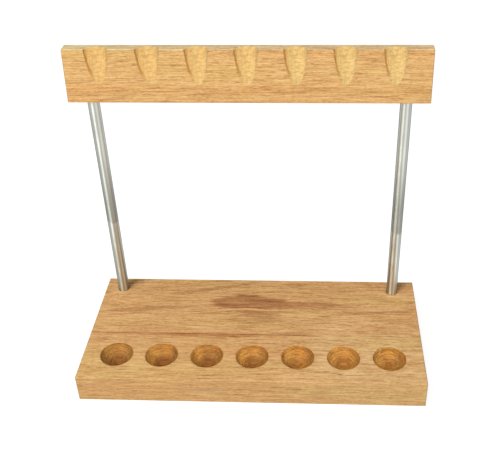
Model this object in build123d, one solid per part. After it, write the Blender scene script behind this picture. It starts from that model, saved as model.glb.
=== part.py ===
from build123d import *
import os
from math import cos, radians, sin, tan

# Test tube rack: a flat base board with round-bottomed sockets along its front edge,
# two round metal rods standing in the board near its back corners, and a wooden rail
# across the top of the rods with leaning notches that the tubes rest in.
#
# Frame, in millimetres: the origin is the middle of the board's underside,
# +X runs along the board to the right, +Y runs to the back, and +Z is up.

# Base board
base_length = 300.0
base_depth = 135.0
base_thickness = 26.5
board_edge_round = 0.8

# Sockets: shallow dishes left by a ball-nosed cutter
tube_count = 7
tube_pitch = 40.0
socket_from_front = 29.5
socket_cutter_radius = 15.0
socket_sink = 11.0
socket_rim_round = 0.4

# The rods and the rail stand a little to the left of the board's middle
upright_shift = -2.2

# Rods
rod_radius = 5.0
rod_spacing = 261.4
rod_from_back = 15.0
rod_depth_in_board = 18.0
rod_depth_in_rail = 14.0
rod_end_chamfer = 0.6
hole_mouth_chamfer = 0.4

# Rail: flat underside, top and back, and a front face that leans back
rail_length = 300.0
rail_height = 45.0
rail_underside = 231.0
rail_top_depth = 10.5
rail_face_lean = 6.0
rail_edge_round = 0.7

# Notches: round grooves that run out through the rail's front face
notch_radius = 11.0
notch_lean = 18.0
notch_run_down_face = 29.5
notch_edge_round = 0.3
# The leftmost notch stands a little further out than the even pitch
first_notch_out = 1.8

# Derived positions
base_front = -base_depth / 2
socket_y = base_front + socket_from_front
socket_ball_z = base_thickness - socket_sink + socket_cutter_radius
rod_y = base_depth / 2 - rod_from_back
rod_bottom = base_thickness - rod_depth_in_board
rod_top = rail_underside + rod_depth_in_rail
rod_length = rod_top - rod_bottom
rail_top = rail_underside + rail_height
rail_bottom_depth = rail_top_depth + rail_height * tan(radians(rail_face_lean))
rail_back_y = rod_y + rail_bottom_depth / 2
tube_offsets = [(i - (tube_count - 1) / 2) * tube_pitch for i in range(tube_count)]
notch_positions = [x + upright_shift for x in tube_offsets]
notch_positions[0] -= first_notch_out
rod_positions = {
    "left_rod": upright_shift - rod_spacing / 2,
    "right_rod": upright_shift + rod_spacing / 2,
}


def rod_blank():
    """A plain round rod, chamfered at both ends, standing at its place in Z."""
    blank = Pos(0, 0, rod_bottom) * Cylinder(
        rod_radius, rod_length, align=(Align.CENTER, Align.CENTER, Align.MIN)
    )
    ends = blank.edges().filter_by(GeomType.CIRCLE)
    return chamfer(ends, rod_end_chamfer)


def with_rod_holes(wood, mouth_z):
    """The wood with a blind press-fit hole for each rod, chamfered where the holes open."""
    hole = Pos(0, 0, rod_bottom) * Cylinder(
        rod_radius, rod_length, align=(Align.CENTER, Align.CENTER, Align.MIN)
    )
    for x in rod_positions.values():
        wood -= Pos(x, rod_y, 0) * hole
    mouths = wood.edges().filter_by(GeomType.CIRCLE).filter_by_position(
        Axis.Z, mouth_z - 0.01, mouth_z + 0.01
    )
    return chamfer(mouths.filter_by(lambda e: abs(e.radius - rod_radius) < 0.01), hole_mouth_chamfer)


# Base board: a rectangular board with softened edges, seven dishes and two blind holes
board = Pos(0, 0, base_thickness / 2) * Box(base_length, base_depth, base_thickness)
board = fillet(board.edges(), board_edge_round)
for x in tube_offsets:
    board -= Pos(x, socket_y, socket_ball_z) * Sphere(socket_cutter_radius)
rims = board.edges().filter_by(GeomType.CIRCLE).filter_by_position(
    Axis.Z, base_thickness - 0.01, base_thickness + 0.01
)
board = fillet(rims.filter_by(lambda e: e.radius > rod_radius * 2), socket_rim_round)
base_board = with_rod_holes(board, base_thickness)

# Rail: its end profile is a four-sided shape with a leaning front, swept along X
profile = Plane.YZ * make_face(
    Polyline(
        (rail_back_y - rail_bottom_depth, rail_underside),
        (rail_back_y, rail_underside),
        (rail_back_y, rail_top),
        (rail_back_y - rail_top_depth, rail_top),
        close=True,
    )
)
rail = extrude(profile, rail_length / 2, both=True)
rail = fillet(rail.edges(), rail_edge_round)
rail = Pos(upright_shift, 0, 0) * rail

# Each notch's axis passes one notch radius in front of the point where it leaves the face
face_lean = radians(rail_face_lean)
groove_lean = radians(notch_lean)
run_out_y = rail_back_y - rail_top_depth - notch_run_down_face * sin(face_lean)
run_out_z = rail_top - notch_run_down_face * cos(face_lean)
axis_y = run_out_y - notch_radius * cos(groove_lean)
axis_z = run_out_z + notch_radius * sin(groove_lean)
groove = Cylinder(notch_radius, 2 * rail_height)
for x in notch_positions:
    rail -= Pos(x, axis_y, axis_z) * Rot(-notch_lean, 0, 0) * groove
groove_edges = rail.edges().filter_by(
    lambda e: e.geom_type in (GeomType.ELLIPSE, GeomType.BSPLINE)
)
rail = fillet(groove_edges, notch_edge_round)
top_rail = with_rod_holes(rail, rail_underside)

nodes = {"base_board": base_board, "top_rail": top_rail}
for name, x in rod_positions.items():
    nodes[name] = Pos(x, rod_y, 0) * rod_blank()

os.makedirs("parts", exist_ok=True)
for name, shape in nodes.items():
    export_step(shape, f"parts/{name}.step")
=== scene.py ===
from math import cos, pi, radians, sin, sqrt, tan

import bpy
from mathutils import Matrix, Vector


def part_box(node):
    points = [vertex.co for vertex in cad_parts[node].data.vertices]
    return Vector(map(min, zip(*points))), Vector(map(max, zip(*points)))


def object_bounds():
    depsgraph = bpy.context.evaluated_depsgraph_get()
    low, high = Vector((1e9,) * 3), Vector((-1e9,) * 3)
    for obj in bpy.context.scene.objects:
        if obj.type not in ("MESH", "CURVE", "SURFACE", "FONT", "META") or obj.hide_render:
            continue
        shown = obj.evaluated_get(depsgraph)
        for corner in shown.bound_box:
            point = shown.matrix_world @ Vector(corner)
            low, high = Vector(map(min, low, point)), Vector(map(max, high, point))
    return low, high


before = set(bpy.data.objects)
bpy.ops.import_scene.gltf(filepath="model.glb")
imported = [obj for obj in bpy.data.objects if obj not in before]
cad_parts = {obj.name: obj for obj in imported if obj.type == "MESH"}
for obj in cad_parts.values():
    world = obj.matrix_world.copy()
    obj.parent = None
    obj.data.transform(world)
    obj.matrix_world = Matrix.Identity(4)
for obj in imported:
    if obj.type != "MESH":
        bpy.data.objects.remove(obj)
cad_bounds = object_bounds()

# The rack's four pieces keep their CAD shapes. This script gives them beech and aluminium, and
# adds the floor, the lights and the camera. Colours are linear red, green and blue.

# ---------------------------------------------------------------- measures, in metres
MM = 0.001
TUBE_PITCH = 40.0 * MM
TUBE_COUNT = 7
SOCKET_RADIUS = 15.0 * MM
SOCKET_DEPTH = 11.0 * MM
SOCKET_FROM_FRONT = 29.5 * MM
NOTCH_RADIUS = 11.0 * MM
NOTCH_LEAN = radians(18.0)
NOTCH_RUN = 29.5 * MM
FIRST_NOTCH_OUT = 1.8 * MM
RAIL_LEAN = radians(6.0)
RAIL_TOP_DEPTH = 10.5 * MM

board_lo, board_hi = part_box("base_board")
rail_lo, rail_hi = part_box("top_rail")
left_lo, left_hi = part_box("left_rod")
right_lo, right_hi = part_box("right_rod")

board_top = board_hi.z
rail_top = rail_hi.z
socket_y = board_lo.y + SOCKET_FROM_FRONT
socket_rim = sqrt(SOCKET_RADIUS**2 - (SOCKET_RADIUS - SOCKET_DEPTH) ** 2)
rail_x = (rail_lo.x + rail_hi.x) / 2
left_x = (left_lo.x + left_hi.x) / 2
right_x = (right_lo.x + right_hi.x) / 2
rod_y = (left_lo.y + left_hi.y) / 2

# the tip of every groove, where it runs out through the rail's leaning face
tip_y = rail_hi.y - RAIL_TOP_DEPTH - NOTCH_RUN * sin(RAIL_LEAN)
tip_z = rail_top - NOTCH_RUN * cos(RAIL_LEAN)
# a point on every groove's axis, one radius in front of its tip
groove_y = tip_y - NOTCH_RADIUS * cos(NOTCH_LEAN)
groove_z = tip_z + NOTCH_RADIUS * sin(NOTCH_LEAN)

# ---------------------------------------------------------------- colours
WHITE = (1.0, 1.0, 1.0, 1.0)
BOARD_TONES = (
    (0.05, (0.312, 0.130, 0.043)),
    (0.34, (0.495, 0.252, 0.088)),
    (0.52, (0.604, 0.335, 0.130)),
    (0.90, (0.762, 0.490, 0.225)),
)
RAIL_TONES = (
    (0.05, (0.271, 0.118, 0.033)),
    (0.34, (0.450, 0.235, 0.074)),
    (0.52, (0.552, 0.312, 0.109)),
    (0.90, (0.695, 0.449, 0.181)),
)
METAL_TONES = (
    (0.10, (0.295, 0.308, 0.268)),
    (0.50, (0.525, 0.542, 0.492)),
    (0.90, (0.855, 0.875, 0.815)),
)
FRESH_WOOD = (0.67, 0.450, 0.162)


# ---------------------------------------------------------------- shader helpers
class Nodes:
    """Builds the nodes of one tree. Every method but node returns an output socket."""

    def __init__(self, tree):
        self.tree = tree
        tree.nodes.clear()

    def node(self, kind, inputs=(), **settings):
        made = self.tree.nodes.new("ShaderNode" + kind)
        for key, value in settings.items():
            setattr(made, key, value)
        for key, value in dict(inputs).items():
            socket = made.inputs[key]
            if isinstance(value, bpy.types.NodeSocket):
                self.tree.links.new(value, socket)
            else:
                socket.default_value = value
        return made

    def math(self, operation, a, b=0.0):
        return self.node("Math", {0: a, 1: b}, operation=operation).outputs[0]

    def add(self, *terms):
        total = terms[0]
        for term in terms[1:]:
            total = self.math("ADD", total, term)
        return total

    def times(self, *factors):
        total = factors[0]
        for factor in factors[1:]:
            total = self.math("MULTIPLY", total, factor)
        return total

    def length(self, a, b):
        return self.math("SQRT", self.add(self.times(a, a), self.times(b, b)))

    def swing(self, value, amount):
        """A value between 0 and 1, turned into a swing about zero that is amount wide."""
        return self.times(self.add(value, -0.5), amount)

    def span(self, value, low, high, to_low=0.0, to_high=1.0):
        """Goes smoothly from to_low at low to to_high at high. Low may be above high."""
        made = self.node(
            "MapRange",
            {"Value": value, "From Min": low, "From Max": high, "To Min": to_low, "To Max": to_high},
            interpolation_type="SMOOTHSTEP",
            clamp=True,
        )
        return made.outputs[0]

    def near(self, value, at, none, full):
        """1 where the value is within full of at, and 0 where it is further off than none."""
        return self.span(self.math("ABSOLUTE", self.add(value, -at)), none, full)

    def combine(self, x=0.0, y=0.0, z=0.0):
        return self.node("CombineXYZ", {"X": x, "Y": y, "Z": z}).outputs[0]

    def noise(self, vector, scale, detail=2.0, rough=0.5, seed=0.0):
        """Noise from 0 to 1 whose features are 1/scale long. Scale is per metre, one value or
        one for each axis."""
        if not isinstance(scale, tuple):
            scale = (scale, scale, scale)
        scaled = self.node("VectorMath", {0: vector, 1: scale}, operation="MULTIPLY").outputs[0]
        made = self.node(
            "TexNoise",
            {"Vector": scaled, "W": seed, "Scale": 1.0, "Detail": detail, "Roughness": rough},
            noise_dimensions="4D",
        )
        return made.outputs["Fac"]

    def mix(self, factor, a, b, blend="MIX"):
        """Goes from the colour a to the colour b. Either may be a socket or a plain colour."""
        made = self.node("Mix", {0: factor}, data_type="RGBA", blend_type=blend, clamp_factor=True)
        for index, value in ((6, a), (7, b)):
            socket = made.inputs[index]
            if isinstance(value, bpy.types.NodeSocket):
                self.tree.links.new(value, socket)
            else:
                socket.default_value = (*value, 1.0)
        return made.outputs[2]

    def tint(self, amount, colour, by):
        """The colour multiplied by a tint, as far as amount says."""
        return self.mix(amount, colour, by, "MULTIPLY")

    def ramp(self, factor, stops):
        made = self.node("ValToRGB", {"Fac": factor})
        ramp = made.color_ramp
        while len(ramp.elements) < len(stops):
            ramp.elements.new(0.5)
        for element, (place, colour) in zip(ramp.elements, stops):
            element.position = place
            element.color = (*colour, 1.0)
        return made.outputs["Color"]


class Shader(Nodes):
    """One material. Its where, x, y and z are the point on the surface, in the rack's frame."""

    def __init__(self, name):
        self.material = bpy.data.materials.new(name)
        self.material.use_nodes = True
        super().__init__(self.material.node_tree)
        self.where = self.node("TexCoord").outputs["Object"]
        split = self.node("SeparateXYZ", {0: self.where})
        self.x = split.outputs["X"]
        self.y = split.outputs["Y"]
        self.z = split.outputs["Z"]

    def bump(self, strength, distance, height):
        made = self.node("Bump", {"Strength": strength, "Distance": distance, "Height": height})
        return made.outputs[0]

    def finish(self, inputs):
        surface = self.node("BsdfPrincipled", inputs)
        out = self.node("OutputMaterial")
        self.tree.links.new(surface.outputs[0], out.inputs["Surface"])
        return self.material


# ---------------------------------------------------------------- beech
def ray_flecks(s, radius, angle, seed):
    """Rays of two sizes: short along the grain, thin round the ring, long toward the pith."""
    at = s.combine(s.x, s.times(angle, 0.11), radius)
    large = s.noise(at, (120.0, 1250.0, 70.0), 2.0, 0.6, seed=seed + 5.3)
    small = s.noise(at, (270.0, 1900.0, 90.0), 1.0, seed=seed + 5.9)
    # the large ones are fainter in some places
    shy = s.noise(s.where, (20.0, 55.0, 55.0), seed=seed + 8.8)
    large = s.times(s.span(large, 0.52, 0.66), s.span(shy, 0.36, 0.60, 0.35, 0.8))
    return s.add(large, s.times(s.span(small, 0.52, 0.64), 1.2))


def fibres(s, sway_y, sway_z, seed):
    """Long streaks, fine fibres and dark vessel lines, which all drift a little."""
    drift = 14.0 * MM
    y = s.add(s.y, s.swing(sway_y, drift))
    z = s.add(s.z, s.swing(sway_z, drift))
    bent = s.combine(s.x, y, z)
    streak = s.noise(bent, (9.0, 400.0, 540.0), 3.0, 0.75, seed=seed + 2.2)
    fibre = s.noise(bent, (42.0, 1150.0, 1600.0), 1.0, 0.65, seed=seed + 6.1)
    vessel = s.span(s.noise(bent, (34.0, 850.0, 1500.0), 1.0, seed=seed + 7.1), 0.57, 0.66)
    return streak, fibre, vessel


def grain(s, pith, seed, tones, contrast, flecks):
    """Solid beech with its grain along X. Its growth rings run round a pith line at a y and z
    outside the plank. Its ray flecks are dashes on the long faces and radial lines on the ends.
    Contrast scales every change of tone, and flecks is how dark the ray flecks are.
    Returns the colour, the bump height, the roughness and the narrow rings."""
    sway_y = s.noise(s.where, (6.0, 12.0, 12.0), seed=seed)
    sway_z = s.noise(s.where, (5.0, 10.0, 10.0), seed=seed + 3.7)
    sway = 12.0 * MM
    dy = s.add(s.y, -pith[0], s.swing(sway_y, sway))
    dz = s.add(s.z, -pith[1], s.swing(sway_z, sway))
    radius = s.length(dy, dz)
    angle = s.math("ARCTAN2", dz, dy)

    # growth rings, wide and narrow, as bands of uneven width at each radius
    ring_at = s.combine(radius, s.times(s.x, 0.02), s.times(angle, 0.01))
    broad = s.noise(ring_at, 120.0, 1.0, seed=seed + 1.1)
    fine = s.noise(ring_at, 780.0, 2.0, 0.6, seed=seed + 1.9)

    # what lies along the grain, the pores and slow changes of tone
    fleck = ray_flecks(s, radius, angle, seed)
    streak, fibre, vessel = fibres(s, sway_y, sway_z, seed)
    pore = s.noise(s.where, (330.0, 1150.0, 1500.0), 1.0, 0.6, seed=seed + 7.7)
    cloud = s.noise(s.where, (7.0, 30.0, 30.0), seed=seed + 9.9)
    change = s.add(
        s.swing(broad, 0.24),
        s.swing(fine, 0.45),
        s.swing(streak, 0.54),
        s.swing(fibre, 1.30),
        s.swing(pore, 0.78),
        s.swing(cloud, 0.12),
        s.times(s.add(fleck, -0.40), -flecks),
        s.times(vessel, -0.18),
    )
    colour = s.ramp(s.add(0.53, s.times(change, contrast)), tones)

    # honey in some places and pink in others
    hue = s.noise(s.where, (6.0, 60.0, 60.0), seed=seed + 12.0)
    colour = s.tint(s.span(hue, 0.50, 0.66), colour, (0.97, 1.01, 0.93))
    colour = s.tint(s.span(hue, 0.50, 0.34), colour, (1.01, 0.965, 0.95))

    lines = s.add(s.times(streak, 0.25), s.times(fibre, 0.45))
    height = s.add(lines, s.times(pore, 0.30), s.times(fleck, -0.15))
    rough = s.add(0.50, s.swing(fibre, 0.20), s.times(fleck, -0.08))
    return colour, height, rough, fine


def tube_offset(s, x, middle):
    """Distance in X from the nearest tube's line, and at least half a pitch past the end ones."""
    reach = TUBE_COUNT * TUBE_PITCH / 2
    from_middle = s.add(x, -middle)
    kept = s.node("Clamp", {"Value": from_middle, "Min": -reach, "Max": reach}).outputs[0]
    folded = s.add(s.math("MODULO", s.add(kept, reach), TUBE_PITCH), -TUBE_PITCH / 2)
    beyond = s.math("GREATER_THAN", s.math("ABSOLUTE", from_middle), reach)
    return s.add(folded, s.times(beyond, TUBE_PITCH))


def tool_rings(s, along, pitch, wobble):
    """The rings that a cutter leaves along its axis, made uneven by a wobble."""
    return s.math("SINE", s.add(s.times(along, 2 * pi / pitch), wobble))


def end_grain(s, colour, lo, hi, edge):
    """Darker end grain on both ends of a plank, with the rounded edges beside it."""
    half = (hi.x - lo.x) / 2
    far = s.math("ABSOLUTE", s.add(s.x, -(lo.x + hi.x) / 2))
    return s.tint(s.span(far, half - edge, half - 0.2 * MM), colour, (0.60, 0.58, 0.48))


def wood_surface(s, colour, rough, height):
    """Planed beech with a satin seal, whose grain lines stand a little proud."""
    return s.finish(
        {
            "Base Color": colour,
            "Roughness": rough,
            "Normal": s.bump(0.6, 0.18 * MM, height),
            "Specular IOR Level": 0.35,
        }
    )


# ---------------------------------------------------------------- the board
# middle (from the middle of the back edge) and half size, in mm, then slope, fray and strength
HEARTWOOD = (
    ((-15.0, -32.5), (25.0, 9.5), 0.08, 1.5, 0.95),
    ((-8.0, -38.2), (35.0, 4.6), 0.02, 1.3, 1.00),
    ((11.0, -30.0), (17.0, 2.9), -0.05, 1.4, 0.95),
    ((36.0, -37.3), (48.0, 5.0), -0.01, 2.0, 0.66),
    ((-1.0, -49.5), (22.0, 5.2), -0.02, 2.4, 0.62),
    ((2.0, -60.0), (26.0, 6.0), 0.00, 3.6, 0.30),
    ((-104.0, -45.0), (50.0, 3.0), 0.11, 2.0, 0.45),
    ((-46.0, -14.5), (38.0, 2.6), 0.22, 1.8, 0.50),
    ((108.0, -46.0), (38.0, 1.5), 0.05, 1.6, 0.55),
    ((37.0, -76.0), (15.0, 2.4), 0.05, 2.2, 0.45),
)
PALE_LINE = ((-7.0, -44.2), (25.0, 1.2), -0.01, 1.0)


def mark(s, middle, half, slope, fray, seed):
    """A stain along the grain of the board's top, with a fibrous outline, from 0 to 1."""
    dx = s.add(s.x, -middle[0] * MM)
    dy = s.add(s.y, -board_hi.y - middle[1] * MM, s.times(dx, -slope))
    far = s.length(s.times(dx, 1.0 / (half[0] * MM)), s.times(dy, 1.0 / (half[1] * MM)))
    ragged = s.noise(s.combine(s.x, s.y), (38.0, 480.0, 1.0), 3.0, 0.7, seed=seed)
    # the outline fades from a fifth outside the half size to a fifth inside it
    return s.span(s.add(far, s.swing(ragged, 1.35 * fray)), 1.2, 0.8)


def heartwood(s, colour):
    """Reddish heartwood in the upper part of the board, and a pale line where it stops."""
    heart = 0.0
    for seed, (middle, half, slope, fray, strength) in enumerate(HEARTWOOD, start=1):
        heart_stain_and_dish_shade = s.times(mark(s, middle, half, slope, fray, seed), strength)
        heart = s.math("MAXIMUM", heart, heart_stain_and_dish_shade)
    threads = s.noise(s.combine(s.x, s.y), (26.0, 560.0, 1.0), 2.0, 0.6, seed=12.0)
    skin = s.span(s.z, board_top - 9.0 * MM, board_top - 1.0 * MM)
    heart = s.times(heart, s.span(threads, 0.36, 0.56, 0.5, 1.12), skin)
    colour = s.tint(heart, colour, (0.58, 0.43, 0.38))
    pale = s.times(mark(s, *PALE_LINE, seed=11.0), 0.9)
    return s.tint(pale, colour, (1.25, 1.30, 1.36))


def red_line(s, colour):
    """A thin brown line in the wood behind the sockets, and a reddish frayed zone in front."""
    bend = s.noise(s.combine(s.x), (11.0, 1.0, 1.0), seed=21.0)
    body = s.noise(s.combine(s.x), (24.0, 1.0, 1.0), seed=22.0)
    ragged = s.noise(s.combine(s.x, s.y), (90.0, 900.0, 1.0), 3.0, 0.6, seed=23.0)
    off = s.add(s.y, -(socket_y + 27.0 * MM), s.swing(bend, 4.0 * MM), s.swing(ragged, 2.0 * MM))
    skin = s.span(s.z, board_top - 6.0 * MM, board_top - 1.0 * MM)

    # the zone ends to the right of the board's middle, and is weaker near the left end
    zone = s.times(s.near(off, -1.3 * MM, 2.6 * MM, 0.6 * MM), s.span(body, 0.36, 0.56, 0.35, 1.0))
    ends = s.times(s.span(s.x, 40.0 * MM, 5.0 * MM), s.span(s.x, -135.0 * MM, -95.0 * MM, 0.4, 1.0))
    colour = s.tint(s.times(zone, ends, skin, 0.85), colour, (0.78, 0.61, 0.53))

    line = s.times(s.near(off, 0.4 * MM, 0.95 * MM, 0.25 * MM), s.span(body, 0.30, 0.50, 0.55, 1.0))
    line = s.times(line, s.span(s.x, 62.0 * MM, 45.0 * MM), skin)
    return s.tint(line, colour, (0.58, 0.43, 0.36))


def dish_wood(s, colour, years, inside, offset):
    """The dishes are cut through the grain, so they are darker and more orange than the top, and
    part of that darker tint is painted shade of the hollows.
    """
    # painted shade: this tint is partly end grain and partly the shade of each hollow
    colour = s.tint(inside, colour, (0.87, 0.735, 0.38))
    late = s.times(s.span(years, 0.55, 0.42), inside, 0.6)
    colour = s.tint(late, colour, (0.75, 0.63, 0.48))

    # patches of amber and of brown, and darker toward the left end
    patch = s.noise(s.where, (75.0, 110.0, 110.0), 2.0, 0.6, seed=33.0)
    colour = s.tint(s.times(s.span(patch, 0.48, 0.62), inside), colour, (1.12, 1.06, 0.84))
    colour = s.tint(s.times(s.span(patch, 0.48, 0.36), inside), colour, (0.84, 0.82, 0.80))
    toward_left = s.span(s.x, 50.0 * MM, -130.0 * MM)
    colour = s.tint(s.times(toward_left, inside), colour, (0.84, 0.84, 0.82))

    # painted shade: the bottom of each dish is darker, as the shadow of its near edge, less toward
    # the right end
    heart_stain_and_dish_shade = s.span(s.z, board_top - 6.0 * MM, board_top - SOCKET_DEPTH + 0.6 * MM)
    heart_stain_and_dish_shade = s.times(heart_stain_and_dish_shade, s.span(s.x, 100.0 * MM, -60.0 * MM, 0.5, 1.0))
    colour = s.tint(s.times(heart_stain_and_dish_shade, inside), colour, (0.57, 0.47, 0.36))

    # painted light on the left walls, less in the first dish, and painted shade on the right walls
    dish_left_painted_light = s.span(offset, -2.0 * MM, -11.0 * MM)
    dish_left_painted_light = s.times(dish_left_painted_light, s.span(s.x, -128.0 * MM, -105.0 * MM, 0.5, 1.0))
    colour = s.tint(s.times(dish_left_painted_light, inside), colour, (1.54, 1.70, 1.92))
    # painted shade: the right walls darker
    dark = s.span(offset, 0.0, 12.0 * MM)
    return s.tint(s.times(dark, inside), colour, (0.68, 0.66, 0.60))


def front_face(s, colour):
    """The front face is painted darker than the top, as shade, and has a faint grey smudge."""
    front = s.span(s.y, board_lo.y + 0.5 * MM, board_lo.y + 0.1 * MM)
    # painted shade: the front face darker than the top
    colour = s.tint(front, colour, (0.78, 0.75, 0.62))
    along = s.times(s.add(s.x, 41.0 * MM), 1.0 / (26.0 * MM))
    up = s.times(s.add(s.z, -15.5 * MM), 1.0 / (3.0 * MM))
    ragged = s.noise(s.combine(s.x, s.z), (60.0, 500.0, 1.0), 2.0, 0.6, seed=35.0)
    smudge = s.span(s.add(s.length(along, up), s.swing(ragged, 1.5)), 1.2, 0.4)
    return s.tint(s.times(smudge, front, 0.7), colour, (0.84, 0.88, 1.12))


def board_material():
    s = Shader("board_beech")
    pith = (socket_y + 8.0 * MM, board_lo.z - 65.0 * MM)
    colour, height, rough, years = grain(s, pith, 11.0, BOARD_TONES, 0.9, 0.12)
    colour = heartwood(s, colour)
    colour = red_line(s, colour)

    # the dishes, inside their rims and under the top
    offset = tube_offset(s, s.x, 0.0)
    out = s.length(offset, s.add(s.y, -socket_y))
    inside = s.times(
        s.span(s.z, board_top - 0.15 * MM, board_top - 0.7 * MM),
        s.span(out, socket_rim + 1.2 * MM, socket_rim + 0.4 * MM),
    )
    colour = dish_wood(s, colour, years, inside, offset)
    wobble = s.times(s.noise(s.where, 90.0, seed=31.0), 12.0)
    tool_marks = s.times(tool_rings(s, s.z, 1.9 * MM, wobble), inside, 0.4)

    # the rest of the wood is paler toward the right front corner
    pale = s.times(s.span(s.x, -10.0 * MM, 90.0 * MM), s.span(s.y, 25.0 * MM, -20.0 * MM))
    pale = s.times(pale, s.span(inside, 1.0, 0.0))
    colour = s.tint(pale, colour, (1.03, 1.11, 1.19))
    colour = front_face(s, colour)
    colour = end_grain(s, colour, board_lo, board_hi, 0.8 * MM)

    # painted shade: a dark line round the edge of each dish
    rim_painted_shade = s.times(
        s.span(out, socket_rim + 1.1 * MM, socket_rim + 0.2 * MM),
        s.span(out, socket_rim - 0.9 * MM, socket_rim + 0.1 * MM),
        s.span(s.z, board_top - 1.0 * MM, board_top - 0.3 * MM),
        0.35,
    )
    colour = s.tint(rim_painted_shade, colour, (0.72, 0.60, 0.48))

    rough = s.add(rough, s.times(inside, 0.28))
    return wood_surface(s, colour, rough, s.add(height, tool_marks))


# ---------------------------------------------------------------- the rail
def rail_years(s, colour, years):
    """Three growth rings that show along the lower part of the rail."""
    bend = s.noise(s.where, (12.0, 1.0, 1.0), seed=48.0)
    up = s.add(s.z, -rail_lo.z, s.swing(bend, 3.0 * MM))
    # an orange one along the bottom edge
    orange = s.times(s.span(up, 3.0 * MM, 1.0 * MM), 0.45)
    colour = s.tint(orange, colour, (0.95, 0.80, 0.64))
    # a darker one a finger's width higher, and a line of late wood under it
    dark = s.times(s.near(up, 11.5 * MM, 3.6 * MM, 1.0 * MM), 0.6)
    colour = s.tint(dark, colour, (0.94, 0.88, 0.78))
    late = s.times(s.near(up, 9.4 * MM, 0.8 * MM, 0.2 * MM), s.span(years, 0.40, 0.55))
    return s.tint(late, colour, (0.82, 0.70, 0.56))


def groove_place(s):
    """Where a point is from the nearest groove's leaning axis, sideways, across and along it,
    and how far it is behind the rail's leaning face."""
    first = s.math("LESS_THAN", s.x, rail_x - 2.5 * TUBE_PITCH)
    offset = tube_offset(s, s.add(s.x, s.times(first, FIRST_NOTCH_OUT)), rail_x)
    dy = s.add(s.y, -groove_y)
    dz = s.add(s.z, -groove_z)
    across = s.add(s.times(dy, cos(NOTCH_LEAN)), s.times(dz, -sin(NOTCH_LEAN)))
    along = s.add(s.times(dy, sin(NOTCH_LEAN)), s.times(dz, cos(NOTCH_LEAN)))
    drop = s.times(s.add(s.z, -rail_top), -tan(RAIL_LEAN))
    depth = s.add(s.y, RAIL_TOP_DEPTH - rail_hi.y, drop)
    return offset, across, along, depth


def groove_wood(s, colour):
    """The grooves are paler, freshly cut wood with the cutter's marks across them.
    Returns the colour, where the grooves are, and the height of the marks."""
    offset, across, along, depth = groove_place(s)
    cut_at = s.combine(offset, across, along)
    off_axis = s.length(offset, across)
    inside = s.span(off_axis, NOTCH_RADIUS + 0.30 * MM, NOTCH_RADIUS + 0.10 * MM)

    # they blend into the face where they run out, and are a little paler toward the right end
    pale = s.times(inside, s.span(depth, 0.0, 2.6 * MM, 0.40, 0.68))
    colour = s.mix(pale, colour, FRESH_WOOD)
    toward_right = s.span(s.x, -120.0 * MM, 100.0 * MM)
    colour = s.tint(s.times(inside, toward_right), colour, (1.00, 1.08, 1.16))

    # thin lines along them, and chatter across them
    lines = s.noise(cut_at, (1100.0, 300.0, 70.0), 2.0, 0.6, seed=53.0)
    colour = s.tint(s.times(s.span(lines, 0.52, 0.40), inside, 0.7), colour, (0.88, 0.82, 0.70))
    chatter = s.noise(cut_at, (260.0, 260.0, 520.0), 3.0, 0.7, seed=52.0)
    colour = s.tint(s.times(s.span(chatter, 0.56, 0.36), inside), colour, (0.84, 0.74, 0.58))

    # the side walls are end grain and are darker where upright, partly as painted shade; the left
    # walls get painted light, and the right walls painted shade, darker and greyer
    sideways = s.times(s.math("ABSOLUTE", offset), 1.0 / NOTCH_RADIUS)
    steep_end_grain_and_shade = s.math("POWER", s.math("MINIMUM", sideways, 1.0), 6.0)
    colour = s.tint(s.times(steep_end_grain_and_shade, inside), colour, (0.76, 0.67, 0.54))
    # painted light on the left walls
    left = s.span(offset, -2.5 * MM, -8.0 * MM)
    colour = s.tint(s.times(left, inside), colour, (1.22, 1.18, 1.12))
    # painted shade on the right walls
    right = s.span(offset, 5.0 * MM, 10.0 * MM)
    colour = s.tint(s.times(right, inside), colour, (0.80, 0.86, 0.98))

    # painted shadow: a dark line along each groove's left edge, which fades near the tip
    left_edge_painted_shadow = s.times(
        s.near(off_axis, NOTCH_RADIUS, 0.7 * MM, 0.2 * MM),
        s.span(depth, 1.2 * MM, 0.5 * MM),
        s.span(offset, -2.0 * MM, -5.0 * MM),
        s.span(s.z, tip_z + 4.0 * MM, tip_z + 13.0 * MM, 0.1, 1.0),
    )
    colour = s.tint(left_edge_painted_shadow, colour, (0.72, 0.60, 0.46))

    wobble = s.times(s.noise(s.where, 120.0, seed=51.0), 6.0)
    rings = s.times(tool_rings(s, along, 1.6 * MM, wobble), 0.3)
    return colour, inside, s.times(s.add(rings, chatter), inside)


def rail_material():
    s = Shader("rail_beech")
    pith = (rail_hi.y + 55.0 * MM, rail_lo.z - 30.0 * MM)
    colour, height, rough, years = grain(s, pith, 47.0, RAIL_TONES, 0.85, 0.20)
    colour = rail_years(s, colour, years)
    colour = end_grain(s, colour, rail_lo, rail_hi, 0.7 * MM)

    # the top is paler and greyer
    top = s.span(s.z, rail_top - 0.5 * MM, rail_top - 0.1 * MM)
    colour = s.tint(top, colour, (1.13, 1.50, 2.20))

    colour, inside, tool_marks = groove_wood(s, colour)
    rough = s.add(rough, s.times(inside, 0.06))
    return wood_surface(s, colour, rough, s.add(height, tool_marks))


# ---------------------------------------------------------------- drawn aluminium
def rod_angle(s, side):
    """The angle round each rod's own axis. Side is 0 at the left rod and 1 at the right one."""
    dx = s.add(s.x, -left_x, s.times(side, left_x - right_x))
    return s.math("ARCTAN2", s.add(s.y, -rod_y), dx)


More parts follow.
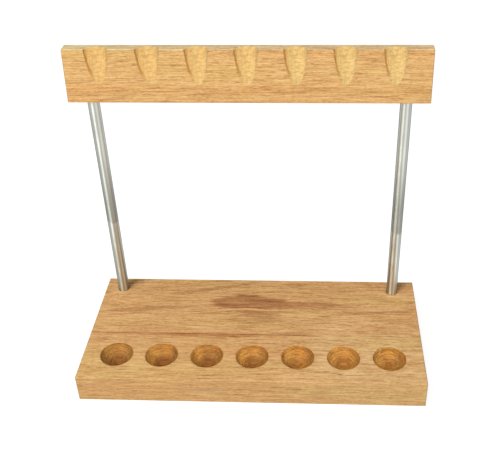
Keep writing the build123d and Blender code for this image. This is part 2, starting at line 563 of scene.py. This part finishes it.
def streaks_and_painted_reflections(s, side, angle, round_at):
    """Lines along each rod: nine thin pairs round the rod, drawn streaks that wander a little, and
    two wide pairs and one dull side, which are painted reflection bands."""
    turned = s.add(angle, s.times(s.add(side, -1.0), radians(25.0)))
    warp = s.swing(s.noise(round_at, (1.2, 1.2, 5.0), seed=60.0), 2.4)
    nine = s.math("COSINE", s.add(s.times(turned, 9.0), radians(-27.0), warp))
    two = s.math("COSINE", s.add(s.times(turned, 2.0), radians(194.0)))
    one = s.math("COSINE", s.add(turned, radians(27.0)))
    return s.add(s.times(nine, 0.19), s.times(two, 0.14), s.times(one, 0.08))


def rod_material():
    s = Shader("rod_aluminium")
    side = s.math("GREATER_THAN", s.x, rail_x)
    angle = rod_angle(s, side)
    # the right rod's marks come from another part of the noise
    apart = s.add(s.z, s.times(side, 3.0))
    round_at = s.combine(s.math("COSINE", angle), s.math("SINE", angle), apart)
    # drawn streaks, with painted reflection bands
    lines = streaks_and_painted_reflections(s, side, angle, round_at)
    scratch = s.noise(round_at, (26.0, 26.0, 14.0), 3.0, 0.65, seed=62.0)
    fine = s.noise(round_at, (90.0, 90.0, 40.0), 2.0, 0.6, seed=63.0)
    smudge = s.noise(s.where, (60.0, 60.0, 38.0), 3.0, 0.55, seed=64.0)

    # the middle of each rod is rougher, and painted darker with fainter lines as a dimmer
    # reflection, down to a slanting line that is lower on the right rod
    level = s.add(s.z, s.times(s.math("COSINE", s.add(angle, 0.8)), 2.0 * MM))
    level = s.add(level, s.times(side, 9.0 * MM))
    dim_band_height = s.span(s.z, 177.0 * MM, 125.0 * MM)
    rougher_and_painted_dim = s.times(dim_band_height, s.span(level, 107.0 * MM, 111.0 * MM))
    # painted reflection: the lower end of the left rod is painted darker and of the right rod paler
    foot_painted_reflection = s.times(s.span(s.z, 95.0 * MM, 50.0 * MM), s.add(-0.06, s.times(side, 0.11)))
    tone = s.add(
        0.5,
        s.times(lines, s.add(1.0, s.times(rougher_and_painted_dim, -0.5))),
        foot_painted_reflection,
        s.times(rougher_and_painted_dim, -0.185),
        s.swing(scratch, 0.8),
        s.swing(fine, 0.3),
        s.swing(smudge, 0.4),
    )
    colour = s.ramp(tone, METAL_TONES)

    # painted reflection of the wooden board: brown patches on the lower half
    spots = s.noise(round_at, (2.2, 2.2, 26.0), 3.0, 0.65, seed=66.0)
    brown_painted_reflection = s.times(s.span(spots, 0.50, 0.66), s.span(s.z, 150.0 * MM, 90.0 * MM))
    colour = s.tint(brown_painted_reflection, colour, (0.87, 0.78, 0.66))

    rough = s.add(0.36, s.times(rougher_and_painted_dim, 0.10), s.swing(smudge, 0.20), s.swing(scratch, 0.14))
    height = s.add(s.times(scratch, 0.6), s.times(fine, 0.4))
    return s.finish(
        {
            "Base Color": colour,
            "Metallic": 1.0,
            "Roughness": rough,
            "Specular Tint": (0.20, 0.20, 0.20, 1.0),
            "Anisotropic": 0.88,
            "Anisotropic Rotation": 0.25,
            "Tangent": s.node("Tangent", direction_type="RADIAL", axis="Z").outputs[0],
            "Normal": s.bump(0.35, 0.04 * MM, height),
        }
    )


def dress(node, material):
    """Gives a CAD node its material."""
    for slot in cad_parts[node].material_slots:
        slot.material = material


dress("base_board", board_material())
dress("top_rail", rail_material())
metal = rod_material()
dress("left_rod", metal)
dress("right_rod", metal)


# ---------------------------------------------------------------- floor, light and camera
def link(made):
    """Puts an object in the scene."""
    bpy.context.scene.collection.objects.link(made)
    return made


def floor():
    """A sheet 8 m square that gives off its own light, so that it stays evenly white."""
    half = 4.0
    corners = [(-half, -half, 0.0), (half, -half, 0.0), (half, half, 0.0), (-half, half, 0.0)]
    mesh = bpy.data.meshes.new("floor")
    mesh.from_pydata(corners, [], [(0, 1, 2, 3)])
    white = Shader("floor_white").finish(
        {
            "Base Color": (0.22, 0.22, 0.22, 1.0),
            "Roughness": 0.9,
            "Specular IOR Level": 0.1,
            "Emission Color": WHITE,
            "Emission Strength": 0.88,
        }
    )
    mesh.materials.append(white)
    made = link(bpy.data.objects.new("floor", mesh))


def softbox(name, azimuth, elevation, distance, size, power, colour=(1.0, 1.0, 1.0)):
    """A square soft light aimed at the rack's middle, in degrees, metres and watts.
    Azimuth 0 is straight in front, and 90 is at the right."""
    middle = (cad_bounds[0] + cad_bounds[1]) / 2
    level = distance * cos(radians(elevation))
    across = level * sin(radians(azimuth))
    toward = level * cos(radians(azimuth))
    place = middle + Vector((across, -toward, distance * sin(radians(elevation))))
    lamp = bpy.data.lights.new(name, "AREA")
    lamp.size = size
    lamp.energy = power
    lamp.color = colour
    made = link(bpy.data.objects.new(name, lamp))
    made.location = place
    made.rotation_euler = (middle - place).to_track_quat("-Z", "Y").to_euler()


def studio_world():
    """An even white studio: bright round the horizon, softer overhead and behind the rack."""
    world = bpy.data.worlds.new("studio")
    world.use_nodes = True
    s = Nodes(world.node_tree)
    toward = s.node("SeparateXYZ", {0: s.node("TexCoord").outputs["Generated"]}).outputs
    overhead = s.span(toward["Z"], 0.10, 0.35, 0.9, 0.32)
    behind = s.span(toward["Y"], -0.5, 0.3, 0.9, 0.5)
    light = s.node("Background", {"Color": WHITE, "Strength": s.times(overhead, behind)})
    out = s.node("OutputWorld")
    s.tree.links.new(light.outputs[0], out.inputs["Surface"])
    return world


def photo_camera():
    """The camera stands in front of the board and a little to its right, and looks down at it."""
    lens = bpy.data.cameras.new("camera")
    lens.lens = 55.6
    lens.sensor_width = 36.0
    lens.shift_x = -0.062
    lens.shift_y = -0.077
    lens.clip_start = 0.05
    lens.clip_end = 50.0
    made = link(bpy.data.objects.new("camera", lens))
    made.location = (54.3 * MM, board_lo.y - 461.8 * MM, 510.7 * MM)
    made.rotation_euler = (radians(57.0), radians(0.975), radians(2.418))
    return made


floor()
softbox("key", -38.0, 47.0, distance=3.4, size=1.8, power=110.0, colour=(1.0, 0.99, 0.97))
softbox("fill", 48.0, 34.0, distance=2.8, size=1.1, power=6.0)
softbox("top", 0.0, 80.0, distance=2.6, size=1.2, power=12.0)
bpy.context.scene.world = studio_world()
bpy.context.scene.camera = photo_camera()
bpy.context.scene.view_settings.view_transform = "Standard"
